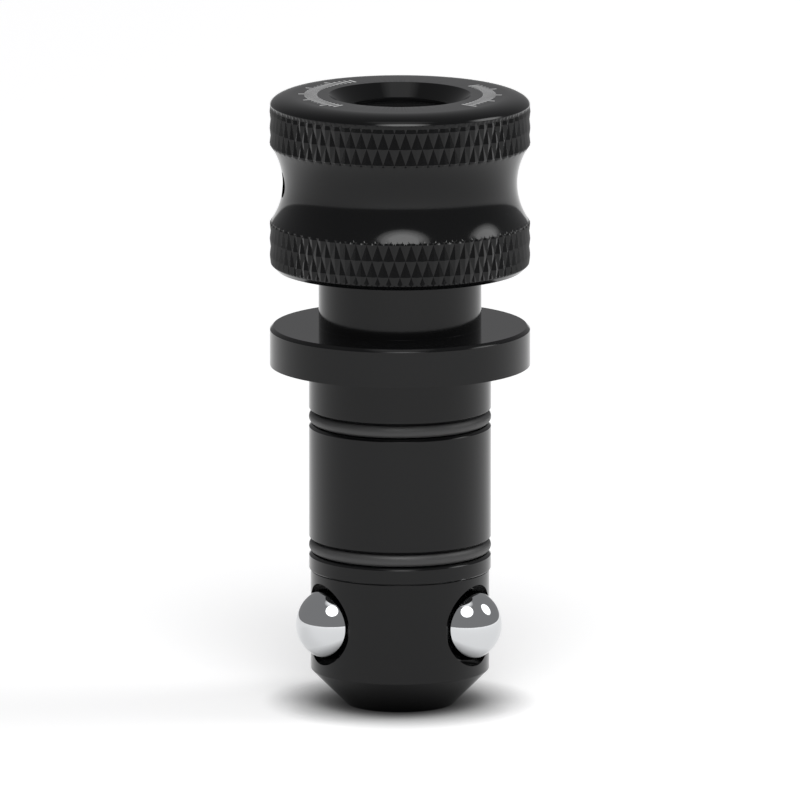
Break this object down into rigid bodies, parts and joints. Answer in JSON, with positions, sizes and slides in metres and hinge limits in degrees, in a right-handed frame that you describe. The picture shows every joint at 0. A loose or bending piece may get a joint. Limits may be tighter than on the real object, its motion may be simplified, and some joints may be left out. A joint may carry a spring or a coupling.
{
  "type": "ball lock pin",
  "caption": "Ball lock clamping pin: a flanged shank with a ball cage, O-rings and a knurled knob whose screw spindle drives a cone that spreads the locking balls.",
  "frame": {"origin": "centre of the flat end of the nose, on which the pin stands", "axes": "+Z along the pin's axis, from the nose to the knob; +Y through locking ball 1"},
  "size_m": [0.04, 0.04, 0.095],
  "materials": {
    "body_steel": "black-oxide turned steel, fine satin",
    "cage_steel": "black-oxide turned steel, fine satin",
    "knob_steel": "black-oxide turned and knurled steel",
    "spindle_steel": "black-oxide steel",
    "screw_steel": "black-oxide steel",
    "cone_steel": "ground hardened steel",
    "plain_steel": "plain ground steel",
    "ball_steel": "polished hardened bearing steel",
    "seal_rubber": "matt black nitrile rubber"
  },
  "bodies": {
    "pin_body": {"shank_body": "body_steel", "ball_cage": "cage_steel", "upper_o_ring": "seal_rubber", "lower_o_ring": "seal_rubber", "neck_o_ring": "seal_rubber"},
    "cone": {"spreader_cone": "cone_steel", "thrust_ball": "ball_steel", "left_retaining_pin": "plain_steel", "right_retaining_pin": "plain_steel"},
    "knob": {"knob": "knob_steel", "knob_set_screw": "screw_steel", "spindle": "spindle_steel", "snap_ring": "plain_steel", "stop_washer": "plain_steel"},
    "ball_1": {"locking_ball_1": "ball_steel"},
    "ball_2": {"locking_ball_2": "ball_steel"},
    "ball_3": {"locking_ball_3": "ball_steel"}
  },
  "joints": [
    {"name": "cone_lift", "type": "slide", "parent": "pin_body", "child": "cone", "axis": [0, 0, 1], "range_m": [0, 0.00658]},
    {"name": "knob_turn", "type": "hinge", "parent": "cone", "child": "knob", "pos_m": [0, 0, 0.0817], "axis": [0, 0, 1], "range_deg": [0, 592]},
    {"name": "ball_1_slide", "type": "slide", "parent": "pin_body", "child": "ball_1", "axis": [0, 1, 0], "range_m": [-0.0038, 0]},
    {"name": "ball_2_slide", "type": "slide", "parent": "pin_body", "child": "ball_2", "axis": [-0.866, -0.5, 0], "range_m": [-0.0038, 0]},
    {"name": "ball_3_slide", "type": "slide", "parent": "pin_body", "child": "ball_3", "axis": [0.866, -0.5, 0], "range_m": [-0.0038, 0]}
  ],
  "couplings": [
    {"joint": "knob_turn", "follows": "cone_lift", "rad_per_m": 1570.8},
    {"joint": "ball_1_slide", "follows": "cone_lift", "ratio": -0.57735},
    {"joint": "ball_2_slide", "follows": "cone_lift", "ratio": -0.57735},
    {"joint": "ball_3_slide", "follows": "cone_lift", "ratio": -0.57735}
  ]
}
